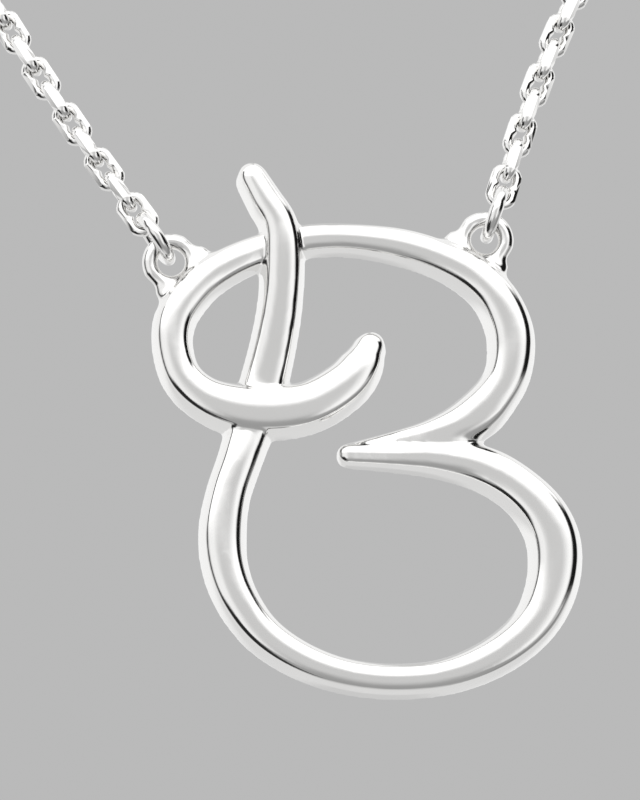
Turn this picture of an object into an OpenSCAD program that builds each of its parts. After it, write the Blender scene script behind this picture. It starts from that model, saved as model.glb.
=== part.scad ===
/* [Letter] */
// Height of the letter, from the foot of the lower bowl to the top of the stem
letter_height = 20; // [14:0.5:28]
// Width of the letter, from the loop on the left to the lower bowl on the right
letter_width = 16; // [11:0.1:23]
// Width of a full stroke at its flat back
stroke_width = 1.75; // [1.2:0.05:2.2]
// Height of a full stroke's crest above its flat back
stroke_depth = 1.4; // [1:0.05:2]

/* [Eyelets] */
// Wire of each eyelet soldered to the letter
eyelet_wire = 0.6; // [0.5:0.02:0.8]
// Room in an eyelet's bore beside the jump ring's wire
eyelet_room = 0.58; // [0.52:0.02:0.9]
// Clear distance from the bore of an eyelet to the edge of the stroke it is let into
eyelet_clear = 0.02; // [0.01:0.01:0.2]

/* [Jump rings] */
// Wire of the jump ring that joins each eyelet to the chain
jump_ring_wire = 0.42; // [0.36:0.01:0.5]
// Room in a jump ring's bore beside the two wires it holds and their play
jump_ring_room = 0.14; // [0.04:0.02:0.5]

/* [Chain] */
// Outer length of one link
link_length = 1.82; // [1.6:0.02:2.4]
// Wire of one link
link_wire = 0.3; // [0.2:0.01:0.36]
// Clear play between pieces that hang in each other
link_play = 0.12; // [0.1:0.01:0.15]
// Links made one by one on each leg, up from the letter
legs_links = 110; // [4:2:112]
// Gap between the last single link and the plain run behind it
run_gap = 0.15; // [0.1:0.05:0.4]

/* [Hang] */
// Lean of the left leg away from upright, at the letter
left_lean = 33; // [20:1:38]
// Lean of the right leg away from upright, at the letter
right_lean = 21; // [16:1:30]
// Lean of both legs back towards the neck
back_lean = 11; // [4:1:18]
// Straight start of each leg at the letter
straight_start = 12; // [6:1:16]

/* [Clasp] */
// Bore of the spring ring clasp
clasp_bore = 2.9; // [2.6:0.1:4]
// Tube of the spring ring clasp
clasp_tube = 1.3; // [1:0.05:1.5]
// Bore of the small loop on the clasp's side
clasp_loop_bore = 1; // [0.9:0.05:1.3]
// Wire of the small loop
clasp_loop_wire = 0.5; // [0.4:0.02:0.6]
// Length that the clasp's trigger stands out of the tube
trigger_length = 0.9; // [0.6:0.1:1.4]
// Wire of the trigger
trigger_wire = 0.6; // [0.4:0.05:0.8]
// Wire of the closed ring that the clasp hooks
end_ring_wire = 0.6; // [0.5:0.05:0.8]
// Room in that ring's bore beside the two wires it holds and their play
end_ring_room = 0.14; // [0.04:0.02:0.6]

/* [Hidden] */
LEFT = -1;
RIGHT = 1;

// Where the two eyelets' middles balance, below and in front of the nape
hang_point = [1.5, -112, -121.8];
// The neck's upright middle line, which every link faces away from
neck_middle = [0, -55, 0];
// Half of the loop, from the nape to where a leg starts straight down to the letter
NAPE_TO_LEG = [[0, 0, 0], [12, -1, 0], [25, -5, -1], [38, -13, -4], [49, -26, -8], [55, -42, -14],
    [56, -59, -24], [51, -76, -37], [43, -89, -52], [34, -98, -69], [24, -105, -88]];
route_steps = 24;
run_rings = 40;
run_sides = 8;

// Columns of both stroke tables, as shares: across of letter_width, up of letter_height,
// width of stroke_width, crest of stroke_depth
STEM_AND_LOWER_BOWL = [
    [0.234, 0.972, 0.74, 0.97],
    [0.263, 0.932, 0.83, 0.99],
    [0.293, 0.891, 0.88, 1.00],
    [0.303, 0.834, 0.98, 1.00],
    [0.299, 0.750, 0.99, 0.96],
    [0.285, 0.675, 1.02, 0.88],
    [0.261, 0.591, 1.07, 0.79],
    [0.233, 0.516, 1.07, 0.84],
    [0.205, 0.445, 0.99, 0.91],
    [0.178, 0.379, 0.99, 0.93],
    [0.165, 0.310, 1.05, 0.95],
    [0.171, 0.244, 1.02, 0.97],
    [0.200, 0.181, 0.97, 0.98],
    [0.256, 0.120, 0.90, 0.96],
    [0.338, 0.074, 0.84, 0.94],
    [0.438, 0.044, 0.79, 0.92],
    [0.552, 0.033, 0.78, 0.90],
    [0.678, 0.042, 0.80, 0.92],
    [0.792, 0.078, 0.89, 0.96],
    [0.880, 0.134, 0.99, 1.00],
    [0.926, 0.203, 1.13, 1.00],
    [0.937, 0.278, 1.20, 1.00],
    [0.912, 0.340, 1.16, 1.00],
    [0.852, 0.393, 1.06, 0.98],
    [0.771, 0.431, 1.03, 0.94],
    [0.671, 0.449, 0.89, 0.90],
    [0.566, 0.451, 0.66, 0.80],
    [0.459, 0.454, 0.55, 0.64]];
LOOP_AND_UPPER_BOWL = [
    [0.504, 0.652, 0.77, 0.86],
    [0.486, 0.622, 1.00, 0.94],
    [0.449, 0.586, 1.11, 0.98],
    [0.373, 0.548, 1.17, 1.00],
    [0.286, 0.534, 1.22, 1.00],
    [0.200, 0.538, 1.18, 1.00],
    [0.123, 0.559, 1.00, 0.98],
    [0.070, 0.598, 0.92, 0.96],
    [0.048, 0.653, 0.90, 0.95],
    [0.052, 0.705, 0.94, 0.94],
    [0.082, 0.748, 0.93, 0.92],
    [0.134, 0.790, 0.89, 0.88],
    [0.206, 0.823, 0.83, 0.84],
    [0.286, 0.847, 0.79, 0.76],
    [0.373, 0.861, 0.75, 0.78],
    [0.466, 0.862, 0.74, 0.84],
    [0.573, 0.851, 0.83, 0.88],
    [0.665, 0.829, 0.87, 0.92],
    [0.746, 0.796, 0.96, 0.96],
    [0.803, 0.751, 1.02, 1.00],
    [0.835, 0.691, 1.07, 1.00],
    [0.835, 0.630, 1.03, 1.00],
    [0.810, 0.580, 1.01, 0.98],
    [0.748, 0.525, 1.09, 0.94],
    [0.661, 0.494, 0.82, 0.88],
    [0.573, 0.478, 0.60, 0.78],
    [0.459, 0.455, 0.55, 0.64]];
// Rows of the upper stroke that the eyelets are soldered beside, counted from zero
left_eyelet_row = 10.45;
right_eyelet_row = 17.8;
// The eyelets lie level with the letter's weight, so that it hangs upright
eyelet_depth_share = 0.44;
// Half outline of a stroke, flat back to crest, as shares of its half width and crest
SECTION_HALF = [[1.00, 0.00], [0.93, 0.30], [0.85, 0.58], [0.76, 0.78], [0.66, 0.89], [0.54, 0.945],
    [0.30, 0.985]];
SECTION = concat([for (share = SECTION_HALF) [-share[0], share[1]]], [[0, 1]],
    [for (i = [len(SECTION_HALF) - 1:-1:0]) SECTION_HALF[i]]);
rings_per_row = 3;
// Turns of the rounded end of a stroke, each with a ring of its own
END_TURNS = [90, 84, 68, 46, 24];
end_point_share = 0.06;
small = 0.01;

eyelet_bore = jump_ring_wire + eyelet_room;
eyelet_radius = (eyelet_bore + eyelet_wire) / 2;
jump_ring_bore = eyelet_wire + link_wire + 3 * link_play + jump_ring_room;
link_width = 3 * link_wire + 2 * link_play;
// The first link of each leg is wider, because it holds the jump ring's stouter wire
first_link_width = jump_ring_wire + 2 * link_wire + 2 * link_play;
link_reach = link_length / 2 - link_wire;
link_pitch = 2 * link_reach - link_play;
clasp_radius = (clasp_bore + clasp_tube) / 2;
clasp_loop_radius = (clasp_loop_bore + clasp_loop_wire) / 2;
end_ring_bore = clasp_tube + link_wire + 3 * link_play + end_ring_room;
end_ring_radius = (end_ring_bore + end_ring_wire) / 2;

function unit(v) = v / norm(v);

// A smooth value a share t of the way from b to c, in a row a, b, c, d
function between(a, b, c, d, t) =
    (2 * b + (c - a) * t + (2 * a - 5 * b + 4 * c - d) * t * t
        + (3 * b - a - 3 * c + d) * t * t * t) / 2;

// The smooth value at a fractional row of a list
function smooth_row(rows, at) =
    let (last = len(rows) - 1, i = min(floor(max(at, 0)), last - 1))
    between(rows[max(i - 1, 0)], rows[i], rows[i + 1], rows[min(i + 2, last)], at - i);

// Place of a stroke's middle in the letter's plane
function stroke_place(rows, at) =
    let (row = smooth_row(rows, at)) [row[0] * letter_width, row[1] * letter_height];

function stroke_way(rows, at) =
    let (low = max(at - small, 0), high = min(at + small, len(rows) - 1))
    unit(stroke_place(rows, high) - stroke_place(rows, low));

// One ring of a stroke: sunk is how far the ring lies past the stroke's end, as a share of its half width
function stroke_ring(rows, at, sunk, narrow) =
    let (row = smooth_row(rows, at), way = stroke_way(rows, at), half = row[2] * stroke_width / 2,
        place = stroke_place(rows, at) + way * half * sunk,
        crest = row[3] * stroke_depth * (narrow == 1 ? 1 : pow(narrow, 0.35)))
    [for (share = SECTION)
        [place[0] - way[1] * share[0] * half * narrow, -share[1] * crest,
            place[1] + way[0] * share[0] * half * narrow]];

function narrowing(turn) = max(cos(turn), end_point_share);

function stroke_rings(rows) =
    let (last = len(rows) - 1)
    concat([for (turn = END_TURNS) stroke_ring(rows, 0, -sin(turn), narrowing(turn))],
        [for (i = [0:last * rings_per_row]) stroke_ring(rows, i / rings_per_row, 0, 1)],
        [for (i = [len(END_TURNS) - 1:-1:0])
            stroke_ring(rows, last, sin(END_TURNS[i]), narrowing(END_TURNS[i]))]);

// A closed skin over rings that all have the same number of points
module skin(rings) {
    sides = len(rings[0]);
    last = len(rings) - 1;
    walls = [for (r = [0:last - 1]) for (s = [0:sides - 1])
        let (a = r * sides + s, b = r * sides + (s + 1) % sides)
        each [[a, b, b + sides], [a, b + sides, a + sides]]];
    ends = [for (s = [1:sides - 2])
        each [[0, s + 1, s], [last * sides, last * sides + s, last * sides + s + 1]]];
    polyhedron(points = [for (ring = rings) each ring], faces = concat(walls, ends));
}

// Middle of an eyelet, its wire let into the stroke's side and its bore just clear of the edge
function eyelet_place(row_at) =
    let (way = stroke_way(LOOP_AND_UPPER_BOWL, row_at), width = smooth_row(LOOP_AND_UPPER_BOWL, row_at)[2],
        out = width * stroke_width / 2 + eyelet_clear + eyelet_bore / 2,
        place = stroke_place(LOOP_AND_UPPER_BOWL, row_at) + [-way[1], way[0]] * out)
    [place[0], -eyelet_depth_share * stroke_depth, place[1]];
LEFT_EYELET = eyelet_place(left_eyelet_row);
RIGHT_EYELET = eyelet_place(right_eyelet_row);
letter_place = hang_point - (LEFT_EYELET + RIGHT_EYELET) / 2;

function leg_way(side) =
    unit([side * tan(side == LEFT ? left_lean : right_lean), tan(back_lean), 1]);

// Middle of the eyelet's wire where the jump ring pulls on it, which the letter swings about
function pull_point(side) =
    let (way = leg_way(side))
    letter_place + (side == LEFT ? LEFT_EYELET : RIGHT_EYELET)
        + unit([way[0], 0, way[2]]) * eyelet_radius;

function leg_points(side) =
    concat([pull_point(side), pull_point(side) + leg_way(side) * straight_start],
        [for (i = [len(NAPE_TO_LEG) - 1:-1:0])
            [side * NAPE_TO_LEG[i][0], NAPE_TO_LEG[i][1], NAPE_TO_LEG[i][2]]]);

function fine_points(points) =
    [for (i = [0:(len(points) - 1) * route_steps]) smooth_row(points, i / route_steps)];

// Rows of distance along the leg, x, y and z
function measured(points) =
    [for (i = 0, far = 0; i < len(points);
        far = far + (i < len(points) - 1 ? norm(points[i + 1] - points[i]) : 0), i = i + 1)
        [far, points[i][0], points[i][1], points[i][2]]];

LEFT_LEG = measured(fine_points(leg_points(LEFT)));
RIGHT_LEG = measured(fine_points(leg_points(RIGHT)));

// The same rows as three tables of distance against x, y or z
function by_axis(leg) = [for (axis = [1:3]) [for (row = leg) [row[0], row[axis]]]];
LEFT_TABLES = by_axis(LEFT_LEG);
RIGHT_TABLES = by_axis(RIGHT_LEG);

function leg_length(side) = let (leg = side == LEFT ? LEFT_LEG : RIGHT_LEG) leg[len(leg) - 1][0];
function leg_at(side, far) =
    let (tables = side == LEFT ? LEFT_TABLES : RIGHT_TABLES) [for (table = tables) lookup(far, table)];
function way_at(side, far) = unit(leg_at(side, far + small) - leg_at(side, far - small));

// A side of the chain made square to its way
function square_to(way, out) = unit(out - way * (way * out));
function off_neck(place) = [place[0] - neck_middle[0], place[1] - neck_middle[1], 0];
LETTER_FACING = [0, -1, 0];

// Distances from the pull point to the jump ring and to each link
jump_ring_far = jump_ring_bore / 2 - eyelet_wire / 2 - link_play;
first_link_far = jump_ring_far + jump_ring_bore / 2 + link_reach - link_play;
function link_far(i) = first_link_far + i * link_pitch;

// Stands its children on a leg: their Z along the leg and their Y towards facing
module on_leg(side, far, facing) {
    place = leg_at(side, far);
    way = way_at(side, far);
    out = square_to(way, facing);
    across = cross(out, way);
    multmatrix([
        [across[0], out[0], way[0], place[0]],
        [across[1], out[1], way[1], place[1]],
        [across[2], out[2], way[2], place[2]],
        [0, 0, 0, 1]])
    children();
}

// A round ring whose bore runs along Y
module ring_of_wire(bore, wire) {
    rotate([90, 0, 0])
    rotate_extrude($fn = 64)
    translate([(bore + wire) / 2, 0])
    circle(d = wire, $fn = 24);
}

// A long link upright in the XZ plane
module link(width) {
    bend = (width - link_wire) / 2;
    half_side = (link_length - width) / 2;
    for (over = [0, 1])
        mirror([0, 0, over])
        translate([0, 0, half_side])
        rotate([90, 0, 0])
        rotate_extrude(angle = 180, $fn = 32)
        translate([bend, 0])
        circle(d = link_wire, $fn = 16);
    for (edge = [-1, 1])
        translate([edge * bend, 0, -half_side])
        cylinder(h = 2 * half_side, d = link_wire, $fn = 16);
}

module eyelet(place) {
    translate(place)
    ring_of_wire(eyelet_bore, eyelet_wire);
}

module letter() {
    color("silver")
    translate(letter_place)
    union() {
        skin(stroke_rings(STEM_AND_LOWER_BOWL));
        skin(stroke_rings(LOOP_AND_UPPER_BOWL));
        eyelet(LEFT_EYELET);
        eyelet(RIGHT_EYELET);
    }
}

module jump_ring(side) {
    on_leg(side, jump_ring_far, LETTER_FACING)
    rotate([0, 0, 90])
    ring_of_wire(jump_ring_bore, jump_ring_wire);
}

module left_jump_ring() {
    color("gainsboro")
    jump_ring(LEFT);
}

module right_jump_ring() {
    color("gainsboro")
    jump_ring(RIGHT);
}

module links(side) {
    for (i = [0:legs_links - 1])
        on_leg(side, link_far(i), off_neck(leg_at(side, link_far(i))))
        rotate([0, 0, i % 2 == 1 ? 90 : 0])
        link(i == 0 ? first_link_width : link_width);
}

module left_links() {
    color("lightgray")
    links(LEFT);
}

module right_links() {
    color("lightgray")
    links(RIGHT);
}

// The rest of a leg, round the neck, as a plain run of the chain's own width
module run(side, end_reach) {
    start = link_far(legs_links - 1) + link_length / 2 + run_gap;
    end = leg_length(side) - end_reach;
    skin([for (i = [0:run_rings - 1])
        let (far = start + (end - start) * i / (run_rings - 1), place = leg_at(side, far),
            way = way_at(side, far), out = square_to(way, off_neck(place)), across = cross(out, way))
        [for (s = [0:run_sides - 1])
            place + (across * cos(s * 360 / run_sides) + out * sin(s * 360 / run_sides))
                * link_width / 2]]);
}

module left_run() {
    color("darkgray")
    run(LEFT, -end_ring_x + end_ring_radius + end_ring_wire / 2 + run_gap);
}

module right_run() {
    color("darkgray")
    run(RIGHT, clasp_loop_x + clasp_loop_radius + clasp_loop_wire / 2 + run_gap);
}

// The clasp and the ring it hooks lie side by side at the nape, their middle at the origin
end_ring_from_clasp = clasp_bore / 2 + end_ring_bore / 2 - link_play;
clasp_loop_from_clasp = clasp_radius + clasp_tube / 2 + clasp_loop_bore / 2;
clasp_x = (end_ring_from_clasp + end_ring_radius - clasp_loop_from_clasp - clasp_loop_radius) / 2;
end_ring_x = clasp_x - end_ring_from_clasp;
clasp_loop_x = clasp_x + clasp_loop_from_clasp;

module clasp() {
    color("silver")
    union() {
        translate([clasp_x, 0, 0])
        ring_of_wire(clasp_bore, clasp_tube);
        translate([clasp_loop_x, 0, 0])
        ring_of_wire(clasp_loop_bore, clasp_loop_wire);
        translate([clasp_x, 0, clasp_radius])
        cylinder(h = clasp_tube / 2 + trigger_length, d = trigger_wire, $fn = 32);
    }
}

module end_ring() {
    color("gainsboro")
    translate([end_ring_x, 0, 0])
    rotate([90, 0, 0])
    ring_of_wire(end_ring_bore, end_ring_wire);
}

letter();
left_jump_ring();
right_jump_ring();
left_links();
right_links();
left_run();
right_run();
clasp();
end_ring();
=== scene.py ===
"""Looks of a script letter pendant in polished silver, let into the middle of its fine cable chain.

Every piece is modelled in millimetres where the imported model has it, and brought to metres when it is done.
"""

import logging
import math
from collections.abc import Callable, Mapping, Sequence
from dataclasses import dataclass, field, replace
from enum import Enum, IntEnum

import bpy
import numpy as np
from mathutils import Matrix, Vector


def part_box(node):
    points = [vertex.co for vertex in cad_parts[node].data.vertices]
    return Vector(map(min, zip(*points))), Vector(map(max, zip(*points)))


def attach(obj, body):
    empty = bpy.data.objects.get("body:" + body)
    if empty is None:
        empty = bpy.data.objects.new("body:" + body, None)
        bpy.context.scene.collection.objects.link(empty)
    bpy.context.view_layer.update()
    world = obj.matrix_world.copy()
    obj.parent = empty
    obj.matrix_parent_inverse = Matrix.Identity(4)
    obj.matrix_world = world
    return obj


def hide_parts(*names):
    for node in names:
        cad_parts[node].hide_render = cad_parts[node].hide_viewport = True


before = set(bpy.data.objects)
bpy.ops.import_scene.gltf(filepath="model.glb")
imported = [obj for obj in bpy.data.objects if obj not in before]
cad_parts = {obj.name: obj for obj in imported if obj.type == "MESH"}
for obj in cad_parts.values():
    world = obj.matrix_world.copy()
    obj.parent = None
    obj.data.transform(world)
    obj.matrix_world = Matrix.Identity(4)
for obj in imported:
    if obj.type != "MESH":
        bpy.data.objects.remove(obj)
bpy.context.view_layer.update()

log = logging.getLogger("pendant")
METRES = 0.001
DEGREES_PER_RADIAN = math.degrees(1)
# A step along a curve, short enough to give the curve's way
SHORT_STEP = 0.01
# Points of a mesh that lie closer than this, in millimetres, become one
MERGE_GAP = 0.0005

# The neck's upright middle line, which every link faces away from
NECK_MIDDLE = Vector((0.0, -55.0, 0.0))
# Half of the loop, from the nape to where a leg starts straight down to the letter
NAPE_TO_LEG = (
    (0, 0, 0), (12, -1, 0), (25, -5, -1), (38, -13, -4), (49, -26, -8), (55, -42, -14),
    (56, -59, -24), (51, -76, -37), (43, -89, -52), (34, -98, -69), (24, -105, -88),
)

# Rows of both strokes: across the letter, up it, width and crest, as shares of the letter's sizes
STEM_AND_LOWER_BOWL = np.array([
    (0.234, 0.972, 0.74, 0.97),
    (0.263, 0.932, 0.83, 0.99),
    (0.293, 0.891, 0.88, 1.00),
    (0.303, 0.834, 0.98, 1.00),
    (0.299, 0.750, 0.99, 0.96),
    (0.285, 0.675, 1.02, 0.88),
    (0.261, 0.591, 1.07, 0.79),
    (0.233, 0.516, 1.07, 0.84),
    (0.205, 0.445, 0.99, 0.91),
    (0.178, 0.379, 0.99, 0.93),
    (0.165, 0.310, 1.05, 0.95),
    (0.171, 0.244, 1.02, 0.97),
    (0.200, 0.181, 0.97, 0.98),
    (0.256, 0.120, 0.90, 0.96),
    (0.338, 0.074, 0.84, 0.94),
    (0.438, 0.044, 0.79, 0.92),
    (0.552, 0.033, 0.78, 0.90),
    (0.678, 0.042, 0.80, 0.92),
    (0.792, 0.078, 0.89, 0.96),
    (0.880, 0.134, 0.99, 1.00),
    (0.926, 0.203, 1.13, 1.00),
    (0.937, 0.278, 1.20, 1.00),
    (0.912, 0.340, 1.16, 1.00),
    (0.852, 0.393, 1.06, 0.98),
    (0.771, 0.431, 1.03, 0.94),
    (0.671, 0.449, 0.89, 0.90),
    (0.566, 0.451, 0.66, 0.80),
    (0.459, 0.454, 0.55, 0.64),
])
LOOP_AND_UPPER_BOWL = np.array([
    (0.504, 0.652, 0.77, 0.86),
    (0.486, 0.622, 1.00, 0.94),
    (0.449, 0.586, 1.11, 0.98),
    (0.373, 0.548, 1.17, 1.00),
    (0.286, 0.534, 1.22, 1.00),
    (0.200, 0.538, 1.18, 1.00),
    (0.123, 0.559, 1.00, 0.98),
    (0.070, 0.598, 0.92, 0.96),
    (0.048, 0.653, 0.90, 0.95),
    (0.052, 0.705, 0.94, 0.94),
    (0.082, 0.748, 0.93, 0.92),
    (0.134, 0.790, 0.89, 0.88),
    (0.206, 0.823, 0.83, 0.84),
    (0.286, 0.847, 0.79, 0.76),
    (0.373, 0.861, 0.75, 0.78),
    (0.466, 0.862, 0.74, 0.84),
    (0.573, 0.851, 0.83, 0.88),
    (0.665, 0.829, 0.87, 0.92),
    (0.746, 0.796, 0.96, 0.96),
    (0.803, 0.751, 1.02, 1.00),
    (0.835, 0.691, 1.07, 1.00),
    (0.835, 0.630, 1.03, 1.00),
    (0.810, 0.580, 1.01, 0.98),
    (0.748, 0.525, 1.09, 0.94),
    (0.661, 0.494, 0.82, 0.88),
    (0.573, 0.478, 0.60, 0.78),
    (0.459, 0.455, 0.55, 0.64),
])
# Half outline of a stroke, flat back to crest, as shares of its half width and crest
SECTION_HALF = (
    (1.00, 0.00), (0.93, 0.30), (0.85, 0.58), (0.76, 0.78), (0.66, 0.89), (0.54, 0.945), (0.30, 0.985),
)


class Column(IntEnum):
    """Columns of the two stroke tables."""

    ACROSS = 0
    UP = 1
    WIDTH = 2
    CREST = 3


class Side(Enum):
    """The two sides of the necklace, as the viewer in front sees them."""

    LEFT = -1
    RIGHT = 1

    @property
    def word(self) -> str:
        """The side's name as the nodes have it."""
        return self.name.lower()


class Body(Enum):
    """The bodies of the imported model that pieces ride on."""

    CHAIN = "chain"
    LETTER = "letter"


class Crease(Enum):
    """Degrees above which an edge stays crisp, by how the piece is made."""

    CAST = 80
    WIRE = 60
    TUBE = 40
    CUT = 32


def smooth_row(rows: np.ndarray, at: float) -> np.ndarray:
    """A smooth curve through rows of numbers.

    Args:
        rows: The rows that the curve passes through.
        at: A fractional row, counted from zero.

    Returns:
        The row at that place.
    """
    last = len(rows) - 1
    i = min(int(max(at, 0.0)), last - 1)
    a, b, c, d = rows[max(i - 1, 0)], rows[i], rows[i + 1], rows[min(i + 2, last)]
    t = at - i
    curve = 2 * b + (c - a) * t + (2 * a - 5 * b + 4 * c - d) * t**2
    return (curve + (3 * b - a - 3 * c + d) * t**3) / 2


class Workbench:
    """Steps that every piece is modelled with."""

    @staticmethod
    def take(*pieces: bpy.types.Object) -> None:
        """Selects pieces alone.

        Args:
            pieces: The pieces, of which the first becomes the active one.
        """
        if bpy.context.object and bpy.context.object.mode != "OBJECT":
            bpy.ops.object.mode_set(mode="OBJECT")
        bpy.ops.object.select_all(action="DESELECT")
        for piece in pieces:
            piece.select_set(True)
        bpy.context.view_layer.objects.active = pieces[0]

    @staticmethod
    def select_where(piece: bpy.types.Object, test: Callable[[Vector], bool]) -> None:
        """Opens a piece in edit mode with only some of its vertices selected.

        Args:
            piece: The piece to open.
            test: Says of a vertex's place whether it is selected.
        """
        Workbench.take(piece)
        bpy.ops.object.mode_set(mode="EDIT")
        bpy.ops.mesh.select_mode(type="VERT")
        bpy.ops.mesh.select_all(action="DESELECT")
        bpy.ops.object.mode_set(mode="OBJECT")
        for vertex in piece.data.vertices:
            vertex.select = test(vertex.co)
        bpy.ops.object.mode_set(mode="EDIT")

    @staticmethod
    def close(piece: bpy.types.Object) -> None:
        """Merges a piece's open seam, fills its open ends and turns its faces outwards.

        Args:
            piece: The piece to close.
        """
        Workbench.take(piece)
        bpy.ops.object.mode_set(mode="EDIT")
        bpy.ops.mesh.select_all(action="SELECT")
        bpy.ops.mesh.remove_doubles(threshold=MERGE_GAP)
        bpy.ops.mesh.fill_holes(sides=0)
        bpy.ops.mesh.select_all(action="SELECT")
        bpy.ops.mesh.normals_make_consistent(inside=False)
        bpy.ops.object.mode_set(mode="OBJECT")

    @staticmethod
    def join(pieces: Sequence[bpy.types.Object]) -> bpy.types.Object:
        """Joins pieces into one and applies its place.

        Args:
            pieces: The pieces, each with a mesh of its own.

        Returns:
            The joined piece.
        """
        Workbench.take(*pieces)
        if len(pieces) > 1:
            bpy.ops.object.join()
        bpy.ops.object.transform_apply(location=True, rotation=True, scale=True)
        return bpy.context.object

    @staticmethod
    def copy_to(pattern: bpy.types.Object, place: Matrix) -> bpy.types.Object:
        """Copies a piece to a place.

        Args:
            pattern: The piece that is copied.
            place: Where the copy stands.

        Returns:
            The copy, with a mesh of its own.
        """
        made = pattern.copy()
        made.data = pattern.data.copy()
        bpy.context.scene.collection.objects.link(made)
        made.matrix_world = place
        return made

    @staticmethod
    def apply(piece: bpy.types.Object, kind: str, **settings: float | str | bool) -> None:
        """Adds a modifier to a piece and applies it.

        Args:
            piece: The piece.
            kind: The modifier's type.
            settings: The modifier's settings, by name.
        """
        Workbench.take(piece)
        modifier = piece.modifiers.new(kind.lower(), kind)
        for name, value in settings.items():
            setattr(modifier, name, value)
        bpy.ops.object.modifier_apply(modifier=modifier.name)

    @staticmethod
    def hand_over(
        piece: bpy.types.Object, name: str, body: Body, slot: str, finish: "SilverFinish", crease: Crease,
        nodes: Sequence[str],
    ) -> bpy.types.Object:
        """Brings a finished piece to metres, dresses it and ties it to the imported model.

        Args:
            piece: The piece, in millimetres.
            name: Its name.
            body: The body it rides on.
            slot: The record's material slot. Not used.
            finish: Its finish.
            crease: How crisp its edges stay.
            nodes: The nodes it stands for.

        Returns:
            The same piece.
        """
        Workbench.take(piece)
        piece.name = name
        piece.data.name = name
        piece.scale = (METRES, METRES, METRES)
        bpy.ops.object.transform_apply(location=True, rotation=True, scale=True)
        bpy.ops.object.shade_smooth_by_angle(angle=math.radians(crease.value))
        piece.data.materials.clear()
        piece.data.materials.append(finish.material())
        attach(piece, body.value)
        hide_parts(*nodes)
        return piece


@dataclass(frozen=True)
class WireRing:
    """A round ring of wire whose bore runs along Y.

    Its seam's depth and slack are shares of the wire's thickness.
    """

    bore: float
    wire: float
    around: int = 72
    section: int = 24
    seam_depth: float = 0.12
    seam_slack: float = 0.02

    @property
    def radius(self) -> float:
        """From the ring's middle to the middle of its wire."""
        return (self.bore + self.wire) / 2

    def model(self, turn: float = 0.0) -> bpy.types.Object:
        """Models the ring.

        Args:
            turn: Share of a step that the ring is turned in its own plane.

        Returns:
            The ring, its turns applied.
        """
        bpy.ops.object.select_all(action="DESELECT")
        bpy.ops.mesh.primitive_torus_add(
            major_segments=self.around, minor_segments=self.section,
            major_radius=self.radius, minor_radius=self.wire / 2,
            rotation=(math.pi / 2, turn * 2 * math.pi / self.around, 0),
        )
        ring = bpy.context.object
        bpy.ops.object.transform_apply(location=True, rotation=True, scale=True)
        return ring

    def score_seam(self, ring: bpy.types.Object, toward: Vector) -> None:
        """Cuts the hairline seam where the two ends of the ring's wire meet.

        Args:
            ring: The ring as it was modelled.
            toward: Way from the ring's middle to the seam.
        """
        middle = toward.normalized() * self.radius
        ahead = middle.cross(Vector((0, 1, 0))).normalized()
        nearest = min((abs((v.co - middle).dot(ahead)) for v in ring.data.vertices
                       if (v.co - middle).length < self.wire), default=0.0)
        within = nearest + self.wire * self.seam_slack
        Workbench.select_where(
            ring, lambda co: (co - middle).length < self.wire and abs((co - middle).dot(ahead)) < within)
        share = 1 - self.seam_depth
        bpy.ops.transform.resize(value=(share, share, share), center_override=middle)
        bpy.ops.object.mode_set(mode="OBJECT")


class Channel:
    """A socket of a material's nodes that is worked with as a number."""

    def __init__(self, bench: "NodeBench", socket: bpy.types.NodeSocket) -> None:
        """Keeps the socket and the bench that its sums are made on."""
        self.bench = bench
        self.socket = socket

    def _sum(self, operation: str, first: "Channel | float", second: "Channel | float") -> "Channel":
        """A Math node on two values."""
        return self.bench.node("ShaderNodeMath", {"operation": operation}, {0: first, 1: second})

    def __add__(self, other: "Channel | float") -> "Channel":
        """This value plus another."""
        return self._sum("ADD", self, other)

    __radd__ = __add__

    def __sub__(self, other: "Channel | float") -> "Channel":
        """This value less another."""
        return self._sum("SUBTRACT", self, other)

    def __rsub__(self, other: float) -> "Channel":
        """A number less this value."""
        return self._sum("SUBTRACT", other, self)

    def __mul__(self, other: "Channel | float") -> "Channel":
        """This value times another."""
        return self._sum("MULTIPLY", self, other)

    __rmul__ = __mul__


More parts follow.
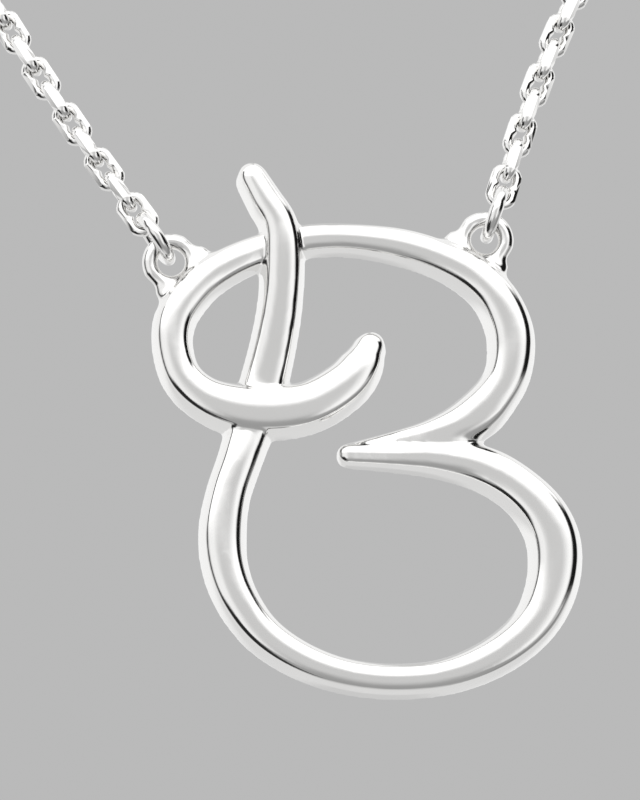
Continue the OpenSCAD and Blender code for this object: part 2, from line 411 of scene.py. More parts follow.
class NodeBench:
    """Makes the nodes of one material, or of the surround."""

    def __init__(self, owner: bpy.types.Material | bpy.types.World) -> None:
        """Starts with no nodes.

        Args:
            owner: The material or surround that the nodes belong to.
        """
        owner.use_nodes = True
        self.owner = owner
        self.tree = owner.node_tree
        self.tree.nodes.clear()

    def node(
        self, kind: str, settings: Mapping[str, object], values: Mapping[str | int, object],
        output: str | int = 0,
    ) -> Channel:
        """Adds a node, with its settings made first.

        Args:
            kind: The node's type.
            settings: Its own settings, or the stops of a ramp.
            values: Values or links of its inputs, by name or number.
            output: The output that is passed on.

        Returns:
            That output.
        """
        made = self.tree.nodes.new(kind)
        for name, value in settings.items():
            if name == "stops":
                self._set_stops(made.color_ramp, value)
            else:
                setattr(made, name, value)
        for name, value in values.items():
            if isinstance(value, Channel):
                self.tree.links.new(value.socket, made.inputs[name])
            else:
                made.inputs[name].default_value = value
        return Channel(self, made.outputs[output])

    @staticmethod
    def _set_stops(ramp: bpy.types.ColorRamp, stops: Sequence[tuple[float, float]]) -> None:
        """Gives a ramp its two grey stops.

        Args:
            ramp: The ramp of a new node.
            stops: A place and a value for each stop.
        """
        for element, (place, value) in zip(ramp.elements, stops):
            element.position = place
            element.color = (value, value, value, 1.0)

    def shine(self, surface: Channel, output: str = "ShaderNodeOutputMaterial") -> None:
        """Puts a shader on the output."""
        self.tree.links.new(surface.socket, self.tree.nodes.new(output).inputs["Surface"])

    def place(self, turn: Sequence[float], stretch: Sequence[float]) -> Channel:
        """Object coordinates, turned and stretched."""
        plain = self.node("ShaderNodeTexCoord", {}, {}, "Object")
        return self.node("ShaderNodeMapping", {}, {"Vector": plain, "Rotation": turn, "Scale": stretch})

    def step(self, value: Channel, low: float, high: float) -> Channel:
        """A smooth rise from 0 at one value to 1 at another."""
        settings = {"interpolation_type": "SMOOTHSTEP"}
        return self.node("ShaderNodeMapRange", settings, {"Value": value, "From Min": low, "From Max": high})

    def noise(self, place: Channel, size: float, detail: float) -> Channel:
        """A noise between 0 and 1 whose lumps have a size in millimetres."""
        return self.node(
            "ShaderNodeTexNoise", {}, {"Vector": place, "Scale": 1 / (size * METRES), "Detail": detail})


@dataclass(frozen=True)
class SilverFinish:
    """Silver as the polisher leaves it: a mirror with faint ripples, haze and hairline scratches."""

    name: str
    bright: tuple[float, float, float] = (0.955, 0.95, 0.94)
    toned: tuple[float, float, float] = (0.90, 0.895, 0.885)
    mirror: float = 0.06
    haze: float = 0.13
    haze_size: float = 2.6
    ripple_size: float = 1.1
    ripple_height: float = 0.005
    scratch_width: float = 0.02
    scratch_length: float = 1.5
    scratch_height: float = 0.00004
    scratch_haze: float = 0.05
    scratch_leans: tuple[float, float] = (35.0, -50.0)
    scratch_stops: tuple[tuple[float, float], ...] = ((0.62, 0.0), (0.72, 1.0))
    scratch_detail: float = 1.0
    ripple_detail: float = 2.0
    haze_detail: float = 3.0

    def material(self) -> bpy.types.Material:
        """The material of this finish, made once."""
        return bpy.data.materials.get(self.name) or self._make()

    def _scratches(self, bench: NodeBench, lean: float) -> Channel:
        """Thin scratches that lean one way.

        Args:
            bench: The material's bench.
            lean: Turn of the scratches about the way the letter faces, in degrees.

        Returns:
            A mask that is 1 in a scratch.
        """
        stretch = (1.0, 1.0, self.scratch_width / self.scratch_length)
        place = bench.place((0.0, math.radians(lean), 0.0), stretch)
        lines = bench.noise(place, self.scratch_width, self.scratch_detail)
        return bench.node("ShaderNodeValToRGB", {"stops": self.scratch_stops}, {"Fac": lines}, "Color")

    def _make(self) -> bpy.types.Material:
        """Builds the material's nodes.

        Returns:
            The material.
        """
        bench = NodeBench(bpy.data.materials.new(self.name))
        place = bench.place((0.0, 0.0, 0.0), (1.0, 1.0, 1.0))
        ripple = bench.noise(place, self.ripple_size, self.ripple_detail)
        haze = bench.noise(place, self.haze_size, self.haze_detail)
        one_way, other_way = (self._scratches(bench, lean) for lean in self.scratch_leans)
        scratches = one_way + other_way
        colour = bench.node(
            "ShaderNodeMix", {"data_type": "RGBA"},
            {"Factor": haze, "A": (*self.bright, 1.0), "B": (*self.toned, 1.0)}, "Result")
        roughness = haze * (self.haze - self.mirror) + self.mirror + scratches * self.scratch_haze
        height = ripple * (self.ripple_height * METRES) - scratches * (self.scratch_height * METRES)
        normal = bench.node("ShaderNodeBump", {}, {"Height": height, "Distance": 1.0, "Strength": 1.0})
        surface = bench.node(
            "ShaderNodeBsdfPrincipled", {},
            {"Base Color": colour, "Metallic": 1.0, "Roughness": roughness, "Normal": normal})
        bench.shine(surface)
        return bench.owner


LETTER_SILVER = SilverFinish("letter_silver")
WIRE_SILVER = SilverFinish("wire_silver", mirror=0.09, haze=0.16, ripple_size=0.6, ripple_height=0.002)
CUT_SILVER = SilverFinish(
    "cut_silver", mirror=0.05, haze=0.12, haze_size=0.9, ripple_size=0.4, ripple_height=0.0012)


@dataclass
class ScriptLetter:
    """The letter: two brush-like strokes with flat backs and two soldered eyelets, cast as one.

    Its own frame has the flat back at y = 0 and the letter's lower left corner at the origin.
    """

    height: float = 20.0
    width: float = 16.0
    stroke_width: float = 1.75
    stroke_depth: float = 1.4
    eyelet_shape: WireRing = WireRing(bore=1.0, wire=0.6, around=64)
    eyelet_clear: float = 0.02
    eyelet_depth_share: float = 0.44
    eyelet_rows: Mapping[Side, float] = field(default_factory=lambda: {Side.LEFT: 10.45, Side.RIGHT: 17.8})
    hang_point: Vector = field(default_factory=lambda: Vector((1.5, -112.0, -121.8)))
    end_point_share: float = 0.06
    end_rise: float = 0.35
    tip_sink: float = 0.12
    rings_per_row: int = 6
    end_rings: int = 14
    outline_steps: int = 4
    solder_size: float = 0.28
    solder_segments: int = 24
    solder_rings: int = 16
    grain: float = 0.071
    polish: float = 0.5
    polish_rounds: int = 6
    flow_rounds: int = 90
    flow_reach: float = 0.85
    flow_edge_share: float = 0.5
    waist_reach: float = 1.7
    waist_rows: float = 2.7

    def outline(self) -> np.ndarray:
        """Outline of a stroke's dome.

        Returns:
            Its points from edge to edge, as shares of the stroke's half width and crest.
        """
        left = [(-across, up) for across, up in SECTION_HALF]
        rows = np.array([*left, (0.0, 1.0), *SECTION_HALF[::-1]])
        steps = (len(rows) - 1) * self.outline_steps
        return np.array([smooth_row(rows, i / self.outline_steps) for i in range(steps + 1)])

    def stroke_place(self, rows: np.ndarray, at: float) -> np.ndarray:
        """Middle of a stroke in the letter's plane, at a fractional row."""
        row = smooth_row(rows, at)
        return np.array((row[Column.ACROSS] * self.width, row[Column.UP] * self.height))

    def stroke_way(self, rows: np.ndarray, at: float) -> np.ndarray:
        """The way a stroke runs.

        Args:
            rows: The stroke's table.
            at: A fractional row.

        Returns:
            The way in the letter's plane, one long.
        """
        ahead = self.stroke_place(rows, min(at + SHORT_STEP, len(rows) - 1))
        way = ahead - self.stroke_place(rows, max(at - SHORT_STEP, 0))
        return way / np.linalg.norm(way)

    def ring(self, rows: np.ndarray, at: float, turn: float) -> np.ndarray:
        """One ring of a stroke's skin.

        Args:
            rows: The stroke's table.
            at: A fractional row.
            turn: How far round a rounded end the ring lies, in radians, below zero at the start.

        Returns:
            The ring's points, from one edge of the back over the crest to the other.
        """
        row = smooth_row(rows, at)
        way = self.stroke_way(rows, at)
        half = row[Column.WIDTH] * self.stroke_width / 2
        narrow = max(math.cos(turn), self.end_point_share)
        crest = row[Column.CREST] * self.stroke_depth * narrow**self.end_rise
        middle = self.stroke_place(rows, at) + way * half * math.sin(turn)
        outline = self.outline()
        aside = outline[:, 0] * half * narrow
        across, up = middle[0] - way[1] * aside, middle[1] + way[0] * aside
        return np.stack([across, -outline[:, 1] * crest, up], axis=-1)

    def lay_stroke(self, rows: np.ndarray) -> bpy.types.Object:
        """Bends a grid into a stroke and closes it.

        Args:
            rows: The stroke's table.

        Returns:
            The stroke, in the letter's own frame.
        """
        last = len(rows) - 1
        turns = np.linspace(math.pi / 2, 0, self.end_rings, endpoint=False)
        plan = [(0.0, -turn) for turn in turns]
        plan += [(i / self.rings_per_row, 0.0) for i in range(last * self.rings_per_row + 1)]
        plan += [(float(last), turn) for turn in turns[::-1]]
        rings = np.array([self.ring(rows, at, turn) for at, turn in plan])
        around = rings.shape[1]
        bpy.ops.object.select_all(action="DESELECT")
        bpy.ops.mesh.primitive_grid_add(x_subdivisions=len(plan) - 1, y_subdivisions=around, size=1)
        stroke = bpy.context.object
        flat = np.empty(len(stroke.data.vertices) * 3)
        stroke.data.vertices.foreach_get("co", flat)
        # The grid is one wide and centred, so this brings its lowest corner to zero
        shares = flat.reshape(-1, 3) + 0.5
        along = np.rint(shares[:, 0] * (len(plan) - 1)).astype(int)
        over = np.rint(shares[:, 1] * around).astype(int) % around
        stroke.data.vertices.foreach_set("co", rings[along, over].ravel())
        Workbench.close(stroke)
        return stroke

    def eyelet_middle(self, side: Side) -> Vector:
        """Middle of an eyelet, whose bore is just clear of the stroke's edge.

        Args:
            side: The eyelet's side of the letter.

        Returns:
            The place in the letter's own frame.
        """
        at = self.eyelet_rows[side]
        way = self.stroke_way(LOOP_AND_UPPER_BOWL, at)
        half = smooth_row(LOOP_AND_UPPER_BOWL, at)[Column.WIDTH] * self.stroke_width / 2
        out = half + self.eyelet_clear + self.eyelet_shape.bore / 2
        across, up = self.stroke_place(LOOP_AND_UPPER_BOWL, at) + np.array((-way[1], way[0])) * out
        return Vector((across, -self.eyelet_depth_share * self.stroke_depth, up))

    def solder_corners(self, side: Side) -> list[Vector]:
        """Places where an eyelet's outer edge runs into the stroke.

        Args:
            side: The eyelet's side of the letter.

        Returns:
            Both places, in the letter's own frame.
        """
        way = self.stroke_way(LOOP_AND_UPPER_BOWL, self.eyelet_rows[side])
        along, inward = Vector((way[0], 0, way[1])), Vector((way[1], 0, -way[0]))
        deep = self.eyelet_shape.bore / 2 + self.eyelet_clear
        outer = self.eyelet_shape.bore / 2 + self.eyelet_shape.wire
        far = math.sqrt(outer**2 - deep**2) + self.solder_size / 2
        return [self.eyelet_middle(side) + along * far * end + inward * deep for end in (-1, 1)]

    def eyelet(self, side: Side) -> bpy.types.Object:
        """One eyelet with the solder that runs into its corners with the stroke.

        Args:
            side: The eyelet's side of the letter.

        Returns:
            The eyelet, in the letter's own frame.
        """
        ring = self.eyelet_shape.model()
        ring.location = self.eyelet_middle(side)
        pieces = [ring]
        for corner in self.solder_corners(side):
            bpy.ops.object.select_all(action="DESELECT")
            bpy.ops.mesh.primitive_uv_sphere_add(
                segments=self.solder_segments, ring_count=self.solder_rings, radius=self.solder_size,
                location=corner)
            pieces.append(bpy.context.object)
        return Workbench.join(pieces)

    def soft_places(self) -> list[tuple[Vector, float]]:
        """Places where the cast metal flows together.

        Returns:
            The eyelets' corners and the waist between the bowls, each with its reach.
        """
        corners = [corner for side in Side for corner in self.solder_corners(side)]
        bowls = (STEM_AND_LOWER_BOWL, LOOP_AND_UPPER_BOWL)
        across, up = sum(self.stroke_place(rows, len(rows) - 1 - self.waist_rows) for rows in bowls) / 2
        waist = Vector((across, -self.stroke_depth / 2, up))
        return [(corner, self.flow_reach) for corner in corners] + [(waist, self.waist_reach)]

    def flow(self, letter: bpy.types.Object) -> None:
        """Melts the corners at the soft places into fillets.

        Args:
            letter: The cast letter, in its own frame.
        """
        group = letter.vertex_groups.new(name="flow")
        places = np.empty(len(letter.data.vertices) * 3)
        letter.data.vertices.foreach_get("co", places)
        places = places.reshape(-1, 3)
        for middle, reach in self.soft_places():
            gaps = np.linalg.norm(places - np.array(middle), axis=1)
            for i in np.flatnonzero(gaps < reach):
                weight = min(1.0, (1 - gaps[i] / reach) / self.flow_edge_share)
                group.add([int(i)], weight, "REPLACE")
        Workbench.apply(
            letter, "SMOOTH", factor=self.polish, iterations=self.flow_rounds, vertex_group=group.name)
        letter.vertex_groups.clear()

    def place(self) -> Vector:
        """Where the letter's own frame stands, its eyelets balanced about the hang point."""
        return self.hang_point - (self.eyelet_middle(Side.LEFT) + self.eyelet_middle(Side.RIGHT)) / 2

    def pull_point(self, side: Side, way: Vector) -> Vector:
        """Middle of an eyelet's wire where the jump ring pulls on it."""
        flat = Vector((way.x, 0, way.z)).normalized()
        return self.place() + self.eyelet_middle(side) + flat * self.eyelet_shape.radius

    def upper_stroke(self) -> np.ndarray:
        """The upper stroke's table with its tip sunk into the lower stroke, whose own tip is left to show.

        Returns:
            The table.
        """
        rows = LOOP_AND_UPPER_BOWL.copy()
        rows[-2, Column.CREST] -= self.tip_sink / 2
        rows[-1, Column.CREST] -= self.tip_sink
        return rows

    def build(self) -> list[bpy.types.Object]:
        """Casts the strokes and eyelets as one and polishes them.

        Returns:
            The finished letter alone.
        """
        strokes = [self.lay_stroke(rows) for rows in (STEM_AND_LOWER_BOWL, self.upper_stroke())]
        letter = Workbench.join(strokes + [self.eyelet(side) for side in Side])
        Workbench.apply(letter, "REMESH", mode="VOXEL", voxel_size=self.grain)
        Workbench.apply(letter, "SMOOTH", factor=self.polish, iterations=self.polish_rounds)
        self.flow(letter)
        letter.location = self.place()
        Workbench.join([letter])
        return [Workbench.hand_over(
            letter, "script_letter", Body.LETTER, "letter", LETTER_SILVER, Crease.CAST, ["letter"])]


@dataclass(frozen=True)
class CableLink:
    """A link of cable chain, cut flat on both sides.

    A faceted link, as the ones near the letter are, has swelled sides and four more bright cuts.
    """

    width: float = 1.16
    length: float = 1.88
    wire: float = 0.38
    cut: float = 0.04
    facet_far: float = 0.455
    swell: float = 1.12
    swell_steps: tuple[float, ...] = (0.75, 0.5, 0.25)
    inward: float = 0.7
    corner_turn: float = 0.5
    around: int = 8
    section: int = 6
    faceted: bool = False

    @property
    def reach(self) -> float:
        """From the link's middle to the inside of its end."""
        return self.length / 2 - self.wire

    def model(self) -> bpy.types.Object:
        """Models the link upright in the XZ plane.

        Returns:
            The link, about the origin.
        """
        bore = self.width - 2 * self.wire
        link = WireRing(bore, self.wire, self.around, self.section).model(self.corner_turn)
        stretch = (self.length - self.width) / 2
        for end in (-1, 1):
            Workbench.select_where(link, lambda co, end=end: co.z * end > 0)
            bpy.ops.transform.translate(value=(0, 0, stretch * end))
        if self.faceted:
            self._swell_sides(link, stretch)
        edge = self.width / 2 - self.cut
        for side in (-1, 1):
            Workbench.select_where(link, lambda co, side=side: co.x * side > edge)
            bpy.ops.transform.resize(value=(0, 1, 1), center_override=(edge * side, 0, 0))
        if self.faceted:
            self._cut_facets()
        bpy.ops.object.mode_set(mode="OBJECT")
        return link

    def _swell_sides(self, link: bpy.types.Object, stretch: float) -> None:
        """Swells the long sides of an open link towards their middle, outwards and into the bore.

        Args:
            link: The link, in edit mode.
            stretch: Half of its straight length.
        """
        waist = stretch / 2
        for height in (0, -waist, waist, -stretch, stretch):
            bpy.ops.mesh.select_all(action="SELECT")
            bpy.ops.mesh.bisect(plane_co=(0, 0, height), plane_no=(0, 0, 1))
        for share in self.swell_steps:
            Workbench.select_where(link, lambda co, share=share: abs(co.z) < self.length / 2 * share)
            bpy.ops.transform.resize(value=(1, self.swell, 1), center_override=(0, 0, 0))
        Workbench.select_where(
            link, lambda co: abs(co.z) < waist / 2 and abs(co.x) < (self.width - self.wire) / 2)
        bpy.ops.transform.resize(value=(self.inward, 1, 1), center_override=(0, 0, 0))

    def _cut_facets(self) -> None:
        """Cuts the four bright facets along an open link's sides."""
        for way in (Vector((x, y, 0)).normalized() for x in (-1, 1) for y in (-1, 1)):
            bpy.ops.mesh.select_all(action="SELECT")
            bpy.ops.mesh.bisect(
                plane_co=way * self.facet_far, plane_no=way, use_fill=True, clear_outer=True)


PLAIN_LINK = CableLink()
FACETED_LINK = CableLink(around=24, section=12, faceted=True)


@dataclass
class ChainLeg:
    """One side of the chain, from the jump ring at the letter round the neck to the nape."""

    side: Side
    pull_point: Vector
    way: Vector
    hook: float
    straight_start: float = 12.0
    route_steps: int = 24
    jump_ring_shape: WireRing = WireRing(bore=1.34, wire=0.48)
    jump_ring_seam: tuple[float, float, float] = (1.0, 0.0, 0.2)
    jump_ring_far: float = 0.28
    first_link_far: float = 1.47
    link_pitch: float = 1.1
    single_links: int = 110
    near_links: int = 26
    first_link_width: float = 1.26
    last_link_width: float = 1.5
    touch: float = 0.02

    def __post_init__(self) -> None:
        """Works out the leg's route as points and their distances from the letter."""
        rows = np.array([
            tuple(self.pull_point), tuple(self.pull_point + self.way * self.straight_start),
            *((self.side.value * x, y, z) for x, y, z in reversed(NAPE_TO_LEG)),
        ])
        steps = (len(rows) - 1) * self.route_steps
        self.route = np.array([smooth_row(rows, i / self.route_steps) for i in range(steps + 1)])
        self.fars = np.concatenate([[0.0], np.cumsum(np.linalg.norm(np.diff(self.route, axis=0), axis=1))])

    def at(self, far: float) -> Vector:
        """The place on the route that far from the letter."""
        return Vector([np.interp(far, self.fars, self.route[:, axis]) for axis in range(3)])

    def stand(self, far: float, facing: Vector) -> Matrix:
        """Stands a piece on the route.

        Args:
            far: Distance from the letter.
            facing: The way that the piece's Y faces, as near as the route lets it.

        Returns:
            The piece's place, its Z along the route.
        """
        way = (self.at(far + SHORT_STEP) - self.at(far - SHORT_STEP)).normalized()
        out = (facing - way * way.dot(facing)).normalized()
        turn = Matrix([out.cross(way), out, way]).transposed().to_4x4()
        return Matrix.Translation(self.at(far)) @ turn

    def link_fars(self, reach: float) -> list[float]:
        """Distances of all links from the letter.

        Args:
            reach: From a link's middle to the inside of its end.

        Returns:
            The distances. The single links keep their pitch, and the rest share what is left up to the
            hook, one more of them where the last would else lie the wrong way in it.
        """
        single = [self.first_link_far + i * self.link_pitch for i in range(self.single_links)]
        last = self.fars[-1] - (self.hook - self.touch + reach)
        more = math.ceil((last - single[-1]) / self.link_pitch)
        lies_flat = (self.single_links - 1 + more) % 2 == 1
        more += int(lies_flat != (self.side is Side.RIGHT))
        rest = np.linspace(single[-1], last, more + 1)[1:]
        return single + list(rest)

    def thread(
        self, fars: Sequence[float], first: int, pattern: CableLink, widths: Mapping[int, float],
    ) -> list[bpy.types.Object]:
        """Hangs links in each other along the route.

        Args:
            fars: Distances of the links from the letter.
            first: Number of the first of them.
            pattern: The link that is copied.
            widths: Widths of the links that are wider, by number.

        Returns:
            The links.
        """
        model = pattern.model()
        links = []
        for i, far in enumerate(fars, first):
            place = self.at(far)
            stand = self.stand(far, Vector((place.x - NECK_MIDDLE.x, place.y - NECK_MIDDLE.y, 0)))
            turned = stand @ Matrix.Rotation(math.pi / 2 * (i % 2), 4, "Z")
            if i in widths:
                made = replace(pattern, width=widths[i], swell=1.0).model()
                made.matrix_world = turned
            else:
                made = Workbench.copy_to(model, turned)
            links.append(made)
        bpy.data.objects.remove(model)
        return links

    def jump_ring(self) -> bpy.types.Object:
        """The stouter ring that joins the letter's eyelet to the chain.

        Returns:
            The ring, edge on to the viewer in front.
        """
        ring = self.jump_ring_shape.model()
        self.jump_ring_shape.score_seam(ring, Vector(self.jump_ring_seam))
        stand = self.stand(self.jump_ring_far, Vector((0, -1, 0)))
        ring.matrix_world = stand @ Matrix.Rotation(math.pi / 2, 4, "Z")
        return Workbench.join([ring])

    def build(self) -> list[bpy.types.Object]:
        """Makes the leg's jump ring and its links.

        Returns:
            The jump ring, the links of the leg and the links at the nape.
        """
        word = self.side.word
        fars = self.link_fars(PLAIN_LINK.reach)
        near_end, leg_end, last = self.near_links, self.single_links, len(fars) - 1
        near = self.thread(fars[:near_end], 0, FACETED_LINK, {0: self.first_link_width})
        far = self.thread(fars[near_end:leg_end], near_end, PLAIN_LINK, {})
        nape = self.thread(fars[leg_end:], leg_end, PLAIN_LINK, {last: self.last_link_width})
        return [
            Workbench.hand_over(
                self.jump_ring(), f"{word}_jump_ring_wire", Body.CHAIN, "rings", WIRE_SILVER, Crease.WIRE,
                [f"{word}_jump_ring"]),
            Workbench.hand_over(
                Workbench.join(near + far), f"{word}_leg_links", Body.CHAIN, "chain", CUT_SILVER, Crease.CUT,
                [f"{word}_links"]),
            Workbench.hand_over(
                Workbench.join(nape), f"{word}_nape_links", Body.CHAIN, "chain", CUT_SILVER, Crease.CUT,
                [f"{word}_run"]),
        ]


@dataclass
class NapeClasp:
    """The spring ring at the nape and the closed ring that it hooks."""

    ring_shape: WireRing = WireRing(bore=2.9, wire=1.3, around=96, section=32, seam_depth=0.06)
    cap_turn: float = 28.0
    loop_shape: WireRing = WireRing(bore=1.0, wire=0.5, around=48, section=20)
    trigger_wire: float = 0.6
    trigger_length: float = 0.9
    trigger_sides: int = 32
    trigger_round_share: float = 0.2
    trigger_round_steps: int = 4
    end_ring_wire: float = 0.6
    end_ring_seam: tuple[float, float, float] = (0.3, 0.0, 1.0)

    def hook(self, side: Side) -> float:
        """How far from the nape's middle a leg's last link hangs.

        Args:
            side: The leg's side.

        Returns:
            The distance to the inside of the ring or loop that the link hangs in.
        """
        if side is Side.LEFT:
            return -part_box("end_ring")[0].x / METRES - self.end_ring_wire
        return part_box("clasp")[1].x / METRES - self.loop_shape.wire

    def build(self) -> list[bpy.types.Object]:
        """Makes the clasp and the end ring."""
        return [self._clasp(), self._end_ring()]

    def _clasp(self) -> bpy.types.Object:
        """The ring of tube with its scored caps, its small loop and its trigger.

        Returns:
            The finished clasp.
        """
        tube = self.ring_shape.wire
        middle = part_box("clasp")[0].x / METRES + self.ring_shape.bore / 2 + tube
        ring = self.ring_shape.model()
        for turn in (-math.radians(self.cap_turn), math.radians(self.cap_turn)):
            self.ring_shape.score_seam(ring, Vector((math.sin(turn), 0, math.cos(turn))))
        ring.location = (middle, 0, 0)
        loop = self.loop_shape.model()
        loop.location = (middle + self.ring_shape.radius + tube / 2 + self.loop_shape.bore / 2, 0, 0)
        clasp = Workbench.join([ring, loop, self._trigger(middle)])
        return Workbench.hand_over(
            clasp, "spring_ring", Body.CHAIN, "clasp", WIRE_SILVER, Crease.TUBE, ["clasp"])

    def _trigger(self, across: float) -> bpy.types.Object:
        """The round-ended pin that stands on the ring.

        Args:
            across: Where the ring's middle lies across the nape.

        Returns:
            The pin, let into the ring as far as the middle of its tube.
        """
        height = self.ring_shape.wire / 2 + self.trigger_length
        bpy.ops.object.select_all(action="DESELECT")
        bpy.ops.mesh.primitive_cylinder_add(
            vertices=self.trigger_sides, radius=self.trigger_wire / 2, depth=height,
            location=(across, 0, self.ring_shape.radius + height / 2))
        trigger = bpy.context.object
        Workbench.apply(
            trigger, "BEVEL", width=self.trigger_wire * self.trigger_round_share,
            segments=self.trigger_round_steps, limit_method="ANGLE")
        return trigger

    def _end_ring(self) -> bpy.types.Object:
        """The closed ring that the clasp hooks, lying across it.

        Returns:
            The finished ring.
        """
        low, high = (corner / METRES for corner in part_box("end_ring"))
        shape = WireRing(high.x - low.x - 2 * self.end_ring_wire, self.end_ring_wire)
        ring = shape.model()
        shape.score_seam(ring, Vector(self.end_ring_seam))
        ring.rotation_euler = (math.pi / 2, 0, 0)
        ring.location = ((low.x + high.x) / 2, 0, 0)
        return Workbench.hand_over(
            Workbench.join([ring]), "hook_ring", Body.CHAIN, "rings", WIRE_SILVER, Crease.WIRE, ["end_ring"])


def direction(azimuth: float, elevation: float) -> Vector:
    """The way from the letter towards something seen at an azimuth and elevation, in degrees."""
    a, e = math.radians(azimuth), math.radians(elevation)
    return Vector((math.sin(a) * math.cos(e), -math.cos(a) * math.cos(e), math.sin(e)))


@dataclass(frozen=True)
class SoftPatch:
    """A bright or dark patch of the surround with soft edges, seen from the letter in degrees."""

    azimuths: tuple[float, float]
    elevations: tuple[float, float]
    soft: float
    brightness: float

    def _window(self, bench: NodeBench, angle: Channel, low: float, high: float) -> Channel:
        """A soft window that is 1 between two angles.

        Args:
            bench: The surround's bench.
            angle: The angle that is tested.
            low: Where the window starts.
            high: Where it ends.

        Returns:
            The window's mask.
        """
        rise = bench.step(angle, low - self.soft, low + self.soft)
        return rise * (1 - bench.step(angle, high - self.soft, high + self.soft))

    def paint(
        self, bench: NodeBench, azimuth: Channel, elevation: Channel, under: Channel | float,
    ) -> Channel:
        """Paints the patch over what is there.

        Args:
            bench: The surround's bench.
            azimuth: Azimuth of the place in the surround.
            elevation: Its elevation.
            under: The brightness so far.

        Returns:
            The brightness with the patch in it.
        """
        across = self._window(bench, azimuth, *self.azimuths)
        mask = across * self._window(bench, elevation, *self.elevations)
        return mask * self.brightness + (1 - mask) * under


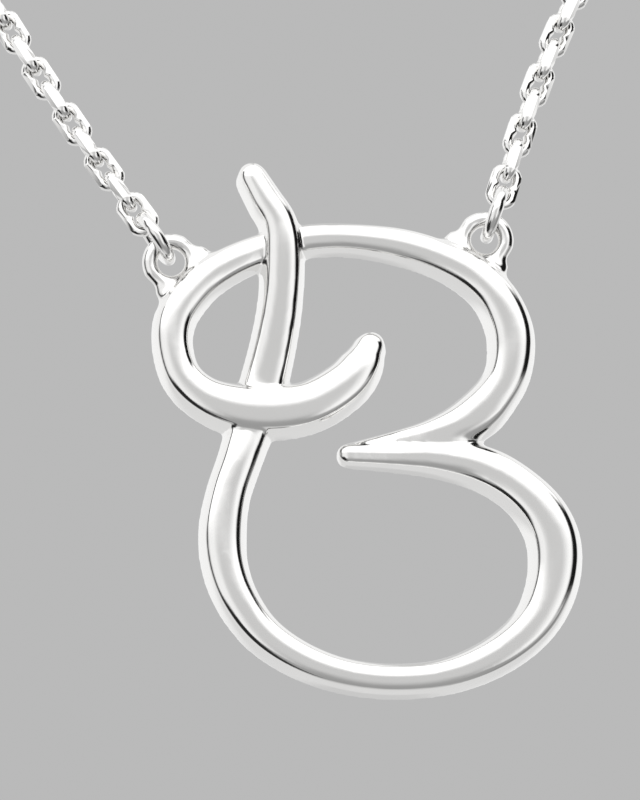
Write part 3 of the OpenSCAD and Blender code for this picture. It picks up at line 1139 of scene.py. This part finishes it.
@dataclass
class Studio:
    """The pale floor, the soft light and the camera."""

    floor_height: float = -0.5
    floor_size: float = 12.0
    floor_colour: tuple[float, float, float] = (0.455, 0.455, 0.46)
    floor_roughness: float = 0.8
    backdrop: float = 0.49
    room: float = 0.62
    pixels_per_mm: float = 26.8
    frame_pixels: tuple[int, int] = (640, 800)
    right_edge_pixel: float = 581.5
    middle_height_pixel: float = 433.75
    azimuth: float = -3.0
    elevation: float = -10.0
    lens: float = 250.0
    sensor: float = 36.0
    nearest_seen: float = 0.01
    patches: tuple[SoftPatch, ...] = (
        SoftPatch((-200, 200), (-100, -20), 14, 0.36),
        SoftPatch((-58, -16), (-30, 100), 9, 0.93),
        SoftPatch((20, 42), (-30, 100), 9, 1.02),
        SoftPatch((-100, 100), (14, 110), 5, 1.25),
        SoftPatch((-90, -70), (-60, 38), 5, 0.10),
        SoftPatch((-94, -38), (-64, -18), 7, 0.02),
        SoftPatch((64, 92), (-60, -6), 6, 0.25),
        SoftPatch((46, 104), (-10, 38), 6, 0.008),
        SoftPatch((-60, -37), (-68, -48), 5, 0.05),
        SoftPatch((-24, 64), (-80, -42), 8, 0.34),
        SoftPatch((-200, -104), (-70, 100), 8, 0.95),
        SoftPatch((112, 200), (-70, 100), 8, 0.95),
        SoftPatch((-200, 200), (-100, -72), 8, 0.62),
        SoftPatch((-200, -112), (-100, -12), 8, 0.74),
        SoftPatch((112, 200), (-100, -12), 8, 0.74),
        SoftPatch((-200, -172), (-30, 100), 3, 0.62),
        SoftPatch((172, 200), (-30, 100), 3, 0.62),
    )

    def build(self) -> None:
        """Sets up the floor, the surround and the camera."""
        low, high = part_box("letter")
        self._lay_floor()
        self._paint_surround()
        self._point_camera(low, high)
        bpy.context.scene.view_settings.view_transform = "Standard"

    def _lay_floor(self) -> None:
        """Lays the pale floor well below the hanging necklace."""
        bpy.ops.object.select_all(action="DESELECT")
        bpy.ops.mesh.primitive_plane_add(size=self.floor_size, location=(0, 0, self.floor_height))
        floor = bpy.context.object
        floor.name = "floor"
        floor.visible_glossy = False
        bench = NodeBench(bpy.data.materials.new("pale_floor"))
        bench.shine(bench.node(
            "ShaderNodeBsdfPrincipled", {},
            {"Base Color": (*self.floor_colour, 1.0), "Roughness": self.floor_roughness}))
        floor.data.materials.append(bench.owner)

    def _paint_surround(self) -> None:
        """Paints soft boxes and dark flags round the letter, behind an even pale backdrop."""
        world = bpy.data.worlds.new("surround")
        bench = NodeBench(world)
        way = bench.node("ShaderNodeTexCoord", {}, {}, "Generated")
        x, y, z = (bench.node("ShaderNodeSeparateXYZ", {}, {0: way}, axis) for axis in "XYZ")
        aside = bench.node("ShaderNodeMath", {"operation": "ARCTAN2"}, {0: x, 1: y * -1.0})
        above = bench.node("ShaderNodeMath", {"operation": "ARCSINE"}, {0: z})
        azimuth, elevation = aside * DEGREES_PER_RADIAN, above * DEGREES_PER_RADIAN
        brightness = self.room
        for patch in self.patches:
            brightness = patch.paint(bench, azimuth, elevation, brightness)
        seen = bench.node("ShaderNodeLightPath", {}, {}, "Is Camera Ray")
        brightness = seen * self.backdrop + (1 - seen) * brightness
        bench.shine(bench.node("ShaderNodeBackground", {}, {"Color": brightness}), "ShaderNodeOutputWorld")
        bpy.context.scene.world = world

    def _point_camera(self, low: Vector, high: Vector) -> None:
        """Points the camera so that the letter lies where the photograph has it.

        Args:
            low: Lowest corner of the letter's box.
            high: Its highest corner.
        """
        back = direction(self.azimuth, self.elevation)
        turn = back.to_track_quat("Z", "Y")
        aside, up = turn @ Vector((1, 0, 0)), turn @ Vector((0, 1, 0))
        pixel = METRES / self.pixels_per_mm
        wide, tall = self.frame_pixels
        edge = Vector((high.x, high.y, (low.z + high.z) / 2))
        aim = edge + aside * (wide / 2 - self.right_edge_pixel) * pixel
        aim += up * (self.middle_height_pixel - tall / 2) * pixel
        view = bpy.data.cameras.new("camera")
        view.lens = self.lens
        view.sensor_width = self.sensor
        view.clip_start = self.nearest_seen
        camera = bpy.data.objects.new("camera", view)
        bpy.context.scene.collection.objects.link(camera)
        camera.location = aim + back * (self.lens / self.sensor * tall * pixel)
        camera.rotation_euler = turn.to_euler()
        bpy.context.scene.camera = camera


@dataclass(frozen=True)
class LegLean:
    """How a leg leaves the letter, in degrees away from upright."""

    outward: float
    back: float = 11.0

    def way(self, side: Side) -> Vector:
        """The way the leg leaves the letter."""
        out = math.tan(math.radians(self.outward))
        return Vector((side.value * out, math.tan(math.radians(self.back)), 1)).normalized()


def main() -> None:
    """Builds the necklace and its studio and reports each piece."""
    logging.basicConfig(level=logging.INFO, format="%(message)s")
    Studio().build()
    letter = ScriptLetter()
    leans = {Side.LEFT: LegLean(outward=33.0), Side.RIGHT: LegLean(outward=21.0)}
    clasp = NapeClasp()
    legs = []
    for side in Side:
        way = leans[side].way(side)
        legs.append(ChainLeg(side, letter.pull_point(side, way), way, clasp.hook(side)))
    for sub_assembly in (letter, *legs, clasp):
        for piece in sub_assembly.build():
            log.info("%s: %d faces", piece.name, len(piece.data.polygons))


if __name__ == "__main__":
    main()
